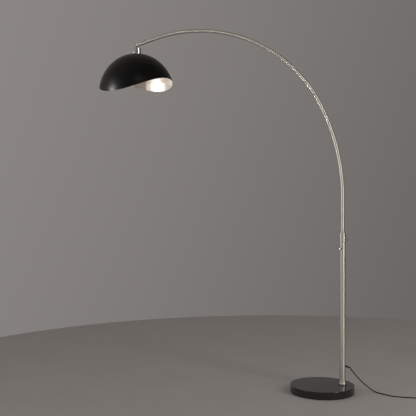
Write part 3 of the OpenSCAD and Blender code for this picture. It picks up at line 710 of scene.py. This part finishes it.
def arm_tube(name, stations):
    """Hollow tube through stations (centre, lean), with eased edges at both ends."""
    first, last = stations[0], stations[-1]
    ease = 0.35 * MM
    bore = ARM_R - TUBE_WALL

    def moved(station, step):
        a = math.radians(station[1])
        return station[0] + step * Vector((-math.sin(a), 0, math.cos(a))), station[1]

    body = [moved(first, ease), *stations[1:-1], moved(last, -ease)]
    rings = [arm_ring(*first, bore), arm_ring(*first, ARM_R - ease)]
    rings += [arm_ring(*s, ARM_R) for s in body]
    rings += [arm_ring(*last, ARM_R - ease), arm_ring(*last, bore)]
    rings += [arm_ring(*s, bore) for s in reversed(stations[1:-1])]
    return skin(name, rings, closed=True)


def make_arm():
    """Lower and upper tube, which meet at the seam, and the rounded end that holds the shade's stem."""
    foot_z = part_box("arm_lower_tube")[0].z
    straight = [(Vector((POLE.x, 0, z)), 0.0) for z in (foot_z, (foot_z + BEND_Z) / 2)]
    bend = [(arm_place(lean), lean) for lean in leans(0, BLEND_LEAN) + leans(BLEND_LEAN, SEAM_LEAN)[1:]]
    show(arm_tube("lower_arm", straight + bend), "brushed_nickel", "arm", "arm_lower_tube")
    tip = math.radians(TIP_LEAN)
    ahead = Vector((-math.sin(tip), 0, math.cos(tip)))
    knuckle = arm_place(TIP_LEAN) + TIP_L * ahead
    half = 7 * MM
    bend = [(arm_place(lean), lean) for lean in leans(SEAM_LEAN, TIP_LEAN)]
    straight = [(knuckle - (half + back) * ahead, TIP_LEAN) for back in (TIP_L / 2, 0)]
    show(arm_tube("upper_arm", bend + straight), "brushed_nickel", "arm", "arm_upper_tube")
    bore = ARM_R - TUBE_WALL
    plug = -half - 25 * MM
    end = rounded([(0, plug, 0), (bore, plug, 0.5 * MM), (bore, -half, 0), (ARM_R, -half, 0.3 * MM),
                   (ARM_R, half, 1.8 * MM), (0, half, 0)])
    show(lathe("arm_end", end, axis_at(knuckle, ahead)), "brushed_nickel", "arm", "arm_end_knuckle")


def make_stem():
    """Sleeve between the arm's end and the cup, in dark steel that is painted shade: it stands for the
    shadow of the arm's end on it.
    """
    r, low, high = round_box("stem_collar")
    bore = 5 * MM
    top = high - 1 * MM
    outline = rounded([(bore, low, 0), (r, low, 0.5 * MM), (r, top, 0.5 * MM), (bore, top, 0)], closed=True)
    # The sleeve's dark steel is painted shade, for the shadow that the arm's end casts on it.
    show(lathe("stem_sleeve", outline, SHADE_AXIS, closed=True), "dark_steel", "arm", "stem_collar")


# ---- Cup, lampholder and bulb ----

def make_cup():
    """Bright cup on the shade's crown."""
    r, low, high = round_box("holder_cup")
    bore = r - 1 * MM
    hole = 5.05 * MM
    roof = high - 1.5 * MM
    outline = rounded([
        (bore, low, 0.3 * MM), (r, low, 0.4 * MM), (r, high, 3 * MM), (hole, high, 0.3 * MM),
        (hole, roof, 0), (bore, roof, 2 * MM)], closed=True, steps=8)
    cup = lathe("cup", outline, SHADE_AXIS, closed=True, steps=128)
    show(cup, "polished_chrome", "shade", "holder_cup")


def make_lampholder():
    """Lampholder with its flange on the shade's seat, and the thread for the ring below it."""
    _, low, high = round_box("lampholder")
    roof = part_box("lampholder_contacts")[1].z
    bore, skirt_r, flange_r, top_r = 14 * MM, 18.2 * MM, 22 * MM, 18 * MM
    ease = 0.5 * MM
    body = rounded([
        (bore, low, ease), (skirt_r, low, 0.6 * MM), (skirt_r, SEAT_Z, 0), (flange_r, SEAT_Z, 0.3 * MM),
        (flange_r, SEAT_Z + 4 * MM, ease), (top_r, SEAT_Z + 5 * MM, ease), (top_r, high - 4 * MM, 1 * MM),
        (bore, high, 1 * MM), (0, high, 0)])
    body = [Vector((0, roof)), Vector((bore, roof))] + body
    show(lathe("holder_body", body, SHADE_AXIS), "white_plastic", "shade", "lampholder")
    root = 18.1 * MM
    ridges = thread("holder_thread", SHADE_AXIS, 17.9 * MM, root, depth=19.6 * MM - root, pitch=3.2 * MM,
                    low=low + 2 * MM, high=SEAT_Z - 9.5 * MM)
    show(ridges, "white_plastic", "shade")


def make_ring():
    """Ribbed ring that holds the shade against the lampholder's flange."""
    r, low, high = round_box("shade_ring")
    bore = 19.8 * MM
    step_r = r - 1 * MM
    step_z = high - 1.4 * MM
    outline = rounded([(bore, low, 0.4 * MM), (r, low, 1.2 * MM), (r, step_z, 0.3 * MM), (step_r, step_z, 0),
                       (step_r, high, 0), (bore, high, 0)], closed=True)
    ring = lathe("holder_ring", outline, SHADE_AXIS, closed=True, steps=240,
                 ribs=(40, 0.6 * MM, r - 0.3 * MM), sharp=50)
    show(ring, "white_plastic", "shade", "shade_ring")


def make_bulb():
    """Globe bulb: an opal half sphere, a white neck that narrows upwards, and a threaded cap."""
    r, _, high = round_box("bulb_globe")
    globe = [(r * math.sin(a), high - r * math.cos(a)) for a in (math.radians(3 * k) for k in range(31))]
    globe += [(r - 1.2 * MM, high), (0, high)]
    show(lathe("bulb_cover", globe, SHADE_AXIS), "opal_cover", "shade", "bulb_globe")
    _, low, high = round_box("bulb_body")
    wide, slim = r - 0.5 * MM, 14 * MM
    rows = 24
    neck = [(wide + (slim - wide) * (1 - math.cos(math.pi * k / rows)) / 2, low + (high - low) * k / rows)
            for k in range(rows + 1)]
    neck = [(0, low), *neck, (0, high)]
    show(lathe("bulb_neck", neck, SHADE_AXIS), "white_plastic", "shade", "bulb_body")
    _, low, high = round_box("bulb_cap")
    cap = thread("bulb_thread", SHADE_AXIS, bore=10 * MM, root=12.2 * MM, depth=1.1 * MM, pitch=3.6 * MM,
                 low=low, high=high - 3 * MM)
    show(cap, "polished_chrome", "shade", "bulb_cap")


# ---- Shade ----

def rim_z(a):
    """Height of the shade's wavy rim in one direction, in radians."""
    return (DOME_Z + RIM_MEAN - WAVE_TWO * math.cos(2 * (a - math.radians(WAVE_TWO_AT)))
            - WAVE_ONE * math.cos(a - math.radians(WAVE_ONE_AT)))


def dome_line(a, inward, rows, hole, short):
    """Line down the dome in one direction, a distance in from its outer face, to short of the rim.

    It starts at the radius hole, level with the seat's edge.
    """
    width, height = SHADE_R - inward, DOME_H - inward
    start = math.asin(SEAT_R / width)
    stop = math.acos((rim_z(a) + short - DOME_Z) / height)
    seat_z = DOME_Z + height * math.cos(start)
    line = [(hole, seat_z), ((hole + SEAT_R) / 2, seat_z)]
    for k in range(rows + 1):
        t = start + (stop - start) * k / rows
        line.append((width * math.sin(t), DOME_Z + height * math.cos(t)))
    return line


def dome(name, outer, inner, hole, edge, rows=72, steps=288):
    """Closed skin between two faces of the dome, with a round edge along the rim."""
    lines = []
    for a in round_angles(steps):
        front = dome_line(a, outer, rows, hole, edge)
        back = dome_line(a, inner, rows, hole, edge)
        top, foot = Vector(front[-1]), Vector(back[-1])
        centre, half = (top + foot) / 2, (top - foot) / 2
        down = Vector((half.y, -half.x)).normalized() * half.length
        if down.y > 0:
            down = -down
        turn = [centre + math.cos(t) * half + math.sin(t) * down
                for t in (math.pi * k / 6 for k in range(1, 6))]
        loop = front + [tuple(p) for p in turn] + back[::-1]
        lines.append([Vector((SHADE.x + r * math.cos(a), r * math.sin(a), z)) for r, z in loop])
    return skin(name, lines, closed=True, sharp=60)


def make_shade():
    """Lacquered dome, and the leaf on its inside."""
    show(dome("dome", 0, SHELL_T, SEAT_HOLE, SHELL_T / 2), "black_lacquer", "shade", "shade_shell")
    face = SHELL_T + LINING_GAP
    show(dome("leaf", face, face + LINING_T, LEAF_FOLD, LINING_T), "silver_leaf", "shade", "shade_lining")


# ---- Free cord's pieces ----

def ribbed_sleeve(name, place, length, wide, slim, ribs, flange):
    """Tapered strain relief with grooves across it, and a flange at its root."""
    bore = CORD_R - 0.1 * MM
    root, groove = 2.5 * MM, 0.9 * MM
    step = (length - 4 * MM) / ribs
    first_r = wide - 0.6 * MM
    outline = [(bore, -flange), (wide, -flange), (wide, 1.5 * MM)]
    for k in range(ribs):
        at = root + step * k
        r = first_r - (first_r - slim) * k / ribs
        outline += [(r - groove, at - 0.5 * MM), (r - groove, at), (r, at + 0.3 * MM),
                    (r, at + step - 1.1 * MM), (r - groove, at + step - 0.8 * MM)]
    outline += [(slim - 0.3 * MM, length - 1 * MM), (slim - 0.8 * MM, length), (bore, length)]
    return lathe(name, outline, place, closed=True, steps=48)


def make_relief():
    """Strain relief where the cord leaves the pole."""
    slant = math.radians(CORD_SLANT)
    place = axis_at(out_of_pole(0), (math.cos(slant), 0, -math.sin(slant)))
    sleeve = ribbed_sleeve("pole_relief", place, RELIEF_L, 6.2 * MM, 4.3 * MM, 5, flange=2 * MM)
    return show(sleeve, "black_rubber", "root", "cord_strain_relief")


def make_tie():
    """Strap round the coil's turns, drawn tight."""
    a = math.radians(TIE_AT)
    out = Vector((math.cos(a), math.sin(a), 0))
    along = Vector((-math.sin(a), math.cos(a), 0))
    half, thick, ease = 5 * MM, 0.9 * MM, 0.3 * MM
    inner = CORD_R + 0.05 * MM
    outer = inner + thick
    low = CORD_R
    # Turns at the bundle's corners: radius, height, and the strap's first and last direction round them
    corners = [(COIL_OUT, low, -90, 0), (COIL_OUT, low + 2 * LAYER, 0, 128),
               (COIL_IN, low + LAYER, 128, 180), (COIL_IN, low, 180, 270)]
    arcs = [(r, z, math.radians(start + (stop - start) * k / 8))
            for r, z, start, stop in corners for k in range(9)]

    def loop(offset, shift):
        return [COIL_AT + (r + offset * math.cos(t)) * out + Vector((0, 0, z + offset * math.sin(t)))
                + shift * along for r, z, t in arcs]

    rings = [loop(inner, -half), loop(outer - ease, -half), loop(outer, -half + ease),
             loop(outer, half - ease), loop(outer - ease, half), loop(inner, half)]
    strap = skin("tie", rings, closed=True, sharp=50)
    for vertex in strap.data.vertices:
        vertex.co.z = max(vertex.co.z, 0)
    return show(strap, "black_plastic", "root", "cord_tie")


def make_button(place, flange_z):
    """The foot switch's button: a flange up to flange_z, and a dished top with round ridges."""
    _, low, high = round_box("switch_button")
    top_r, flange_r, bore = 13 * MM, 15 * MM, 11 * MM
    roof = low + 8 * MM
    rim = top_r - 2.2 * MM
    dish, ridge, ridge_pitch = 0.9 * MM, 0.22 * MM, 1.7 * MM
    crown_z = high - 0.25 * MM
    crown = []
    for k in range(60):
        x = rim - rim * k / 60
        dip = dish * (1 - (x / top_r) ** 2)
        rise = ridge * (0.5 - 0.5 * math.cos(2 * math.pi * x / ridge_pitch))
        crown.append((x, crown_z - dip + rise))
    side = rounded([
        (0, roof, 0), (bore, roof, 0), (bore, low, 0), (flange_r, low, 0.3 * MM),
        (flange_r, flange_z, 0.3 * MM), (top_r, flange_z, 0), (top_r, high, 1.6 * MM),
        (top_r - 2 * MM, high, 0)])
    button = lathe("switch_push", [*side, *crown, (0, crown_z - dish)], place, sharp=50)
    return show(button, "black_plastic", "foot_button", "switch_button")


def make_switch():
    """Round foot switch in the cord. Returns all that is on it, with the CAD nodes that stay."""
    at = middle("switch_cover")
    place = upright(at.x, at.y)
    wall = 2 * MM
    r, low, high = round_box("switch_base")
    seam = high - 0.2 * MM
    outline = rounded([(0, low, 0), (r, low, 1.2 * MM), (r, seam, 0.3 * MM), (r - wall, seam, 0),
                       (r - wall, low + wall, 0), (0, low + wall, 0)])
    base = show(lathe("switch_bottom", outline, place, steps=128), "black_plastic", "root", "switch_base")
    _, low, high = round_box("switch_cover")
    hole, crown_r, slope_r = 13.3 * MM, r - 10 * MM, r - 4 * MM
    side_z, slope_z = low + 5 * MM, high - 4 * MM
    outline = rounded([
        (r, low, 0.3 * MM), (r, side_z, 2.5 * MM), (slope_r, slope_z, 3 * MM), (crown_r, high, 4 * MM),
        (hole, high, 0.5 * MM), (hole, high - wall, 0), (crown_r, high - wall, 2 * MM),
        (slope_r - wall, slope_z - wall, 2 * MM), (r - wall, side_z, 1 * MM), (r - wall, low, 0)],
        closed=True)
    cover = lathe("switch_top", outline, place, closed=True, steps=128)
    show(cover, "black_plastic", "root", "switch_cover")
    pieces = [base, cover, make_button(place, high - wall - 0.3 * MM)]
    for name, direction, nodes in (("relief_in", -1, ["switch_reliefs"]), ("relief_out", 1, [])):
        root = axis_at((at.x + direction * (r - 1 * MM), at.y, SWITCH_SPLIT), (direction, 0, 0))
        sleeve = ribbed_sleeve(name, root, 23 * MM, 5 * MM, 4.1 * MM, 6, flange=2.5 * MM)
        pieces.append(show(sleeve, "black_rubber", "root", *nodes))
    inside = ("switch_spring", "switch_block", "switch_screws", "switch_feet")
    return pieces + [frame["nodes"][node] for node in inside]


def section(x, half_w, half_h, centre):
    """Rounded-box section of the plug across X."""
    power = 2 / 3.2
    ring = []
    for t in round_angles(64):
        c, s = math.cos(t), math.sin(t)
        ring.append(Vector((x, centre.y + half_w * math.copysign(abs(c) ** power, c),
                            centre.z + half_h * math.copysign(abs(s) ** power, s))))
    return ring


def make_plug():
    """Flat two-pin plug: a waisted body with grip ridges, and round pins with sleeves."""
    low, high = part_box("plug_body")
    centre = (low + high) / 2
    half_w, half_h = (high.y - low.y) / 2, (high.z - low.z) / 2
    length = high.x - low.x
    # Shares of the plug's length, half width and half height, from the cord to the face with the pins
    shape = [(0.0, 0.26, 0.62), (0.015, 0.30, 0.70), (0.06, 0.38, 0.82), (0.14, 0.50, 0.93),
             (0.24, 0.52, 0.97), (0.36, 0.52, 0.98), (0.46, 0.58, 0.99), (0.56, 0.72, 0.99),
             (0.66, 0.90, 1.0), (0.74, 0.985, 1.0), (0.84, 1.0, 1.0), (0.965, 1.0, 1.0),
             (0.99, 0.985, 0.975), (1.0, 0.955, 0.93)]
    shares = []
    for (x0, w0, h0), (x1, w1, h1) in zip(shape, shape[1:]):
        for t in (0, 0.25, 0.5, 0.75):
            shares.append((x0 + (x1 - x0) * t, w0 + (w1 - w0) * t, h0 + (h1 - h0) * t))
    shares.append(shape[-1])
    rings = []
    for x, w, h in shares:
        ridged = 0.16 < x < 0.44
        dip = 0.045 * max(0, math.cos(2 * math.pi * (x - 0.19) / 0.055)) if ridged else 0
        rings.append(section(low.x + x * length, half_w * (w - dip), half_h * (h - dip), centre))
    pieces = [show(skin("plug_shell", rings), "black_plastic", "root", "plug_body")]
    low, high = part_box("plug_pins")
    tip = high.x - low.x
    off_centre, pin_r, sleeve_r, sleeve_l = 9.3 * MM, 2 * MM, 2.05 * MM, 10 * MM
    for end, side, nodes in (("a", -1, ["plug_pins"]), ("b", 1, [])):
        place = axis_at((low.x, centre.y + side * off_centre, centre.z), (1, 0, 0))
        outline = rounded([(0, 0, 0), (pin_r, 0, 0), (pin_r, tip, 1.6 * MM), (0, tip, 0)])
        pin = lathe("pin_" + end, outline, place, steps=32)
        show(pin, "polished_chrome", "root", *nodes)
        outline = rounded([(1.5 * MM, 0, 0), (sleeve_r, 0, 0), (sleeve_r, sleeve_l, 0.15 * MM),
                           (1.5 * MM, sleeve_l, 0)], closed=True)
        sleeve = lathe("sleeve_" + end, outline, place, closed=True, steps=32)
        show(sleeve, "black_plastic", "root")
        pieces += [pin, sleeve]
    return pieces


make_base()
make_ferrule()
make_pole()
make_clamps()
make_arm()
make_stem()
make_cup()
make_lampholder()
make_ring()
make_bulb()
make_shade()

show(cord, "cord_jacket", "root", "mains_cord", "switch_cord", "cord_coil", "plug_cord")
on_cord = [make_relief(), make_tie(), *make_switch(), *make_plug()]


# ---- Studio ----

WARM = (1, 0.95, 0.88)
SOFT = (1, 0.96, 0.92)
CLEAR = (1, 0.98, 0.96)


def area_light(name, place, target, size, power, colour, spread=180):
    """Rectangular light at place, facing target, with its size in metres and its power in watts."""
    data = bpy.data.lights.new(name, "AREA")
    data.shape = "RECTANGLE"
    data.size, data.size_y = size
    data.energy = power
    data.spread = math.radians(spread)
    data.color = colour
    light = bpy.data.objects.new(name, data)
    light.location = place
    light.rotation_euler = (Vector(target) - Vector(place)).to_track_quat("-Z", "Y").to_euler()
    light.visible_camera = False
    scene.collection.objects.link(light)


def make_surround():
    """Plain surround, paler towards the left, the back and the top."""
    world = bpy.data.worlds.new("surround")
    world.use_nodes = True
    tree = world.node_tree
    way = tree.nodes.new("ShaderNodeTexCoord").outputs["Generated"]
    slope = tree.nodes.new("ShaderNodeVectorMath")
    slope.operation = "DOT_PRODUCT"
    slope.inputs[1].default_value = (-0.9, 0.25, 0.35)
    tree.links.new(way, slope.inputs[0])
    level = tree.nodes.new("ShaderNodeMapRange")
    level.interpolation_type = "SMOOTHSTEP"
    for name, value in (("From Min", -0.6), ("From Max", 0.9), ("To Min", 0.09), ("To Max", 0.28)):
        level.inputs[name].default_value = value
    tree.links.new(slope.outputs["Value"], level.inputs["Value"])
    background = tree.nodes["Background"]
    background.inputs["Color"].default_value = (1.0, 0.93, 0.89, 1)
    tree.links.new(level.outputs[0], background.inputs["Strength"])
    return world


def make_floor():
    """Plain pale round floor."""
    mesh = bpy.data.meshes.new("floor")
    wide, count = 2.8, 180
    rim = [(wide * math.cos(a), wide * math.sin(a), 0) for a in round_angles(count)]
    mesh.from_pydata(rim, [], [tuple(range(count))])
    floor = bpy.data.objects.new("floor", mesh)
    scene.collection.objects.link(floor)
    n = Nodes("floor", Roughness=0.75, Specular_IOR_Level=0.2)
    clouds = n.noise(n.place(), 3, 4)
    n.set("Base Color", n.ramp(clouds, (0.3, (0.53, 0.51, 0.495)), (0.7, (0.56, 0.54, 0.525))))
    mesh.materials.append(n.material)


def make_studio():
    """Floor, surround, soft windows in front on either side, and two small lights on the arm's outside."""
    make_floor()
    scene.world = make_surround()
    scene.view_settings.view_transform = "Standard"
    area_light("window_right", place=(2.7, -2.9, 1.8), target=(0.1, 0, 1.0), size=(1.0, 3.6), power=66,
               colour=WARM)
    area_light("window_high", place=(-0.3, -3.4, 3.9), target=(-0.5, 0, 1.9), size=(1.6, 0.6), power=6,
               colour=SOFT)
    area_light("window_left", place=(-4.0, -1.6, 1.0), target=(0.1, 0, 0.8), size=(1.6, 2.4), power=16,
               colour=CLEAR)
    area_light("window_low", place=(-0.9, -3.2, 0.35), target=(-0.9, 0, 1.7), size=(2.2, 0.6), power=6,
               colour=CLEAR)
    area_light("spot_left", place=(-2.65, -0.55, 1.88), target=(-1.05, 0, 1.70), size=(0.5, 0.5), power=0.9,
               colour=CLEAR, spread=26)
    area_light("spot_low", place=(-2.7, -0.5, 0.9), target=(-0.85, 0, 1.72), size=(0.9, 0.9), power=2.0,
               colour=CLEAR, spread=60)


make_studio()
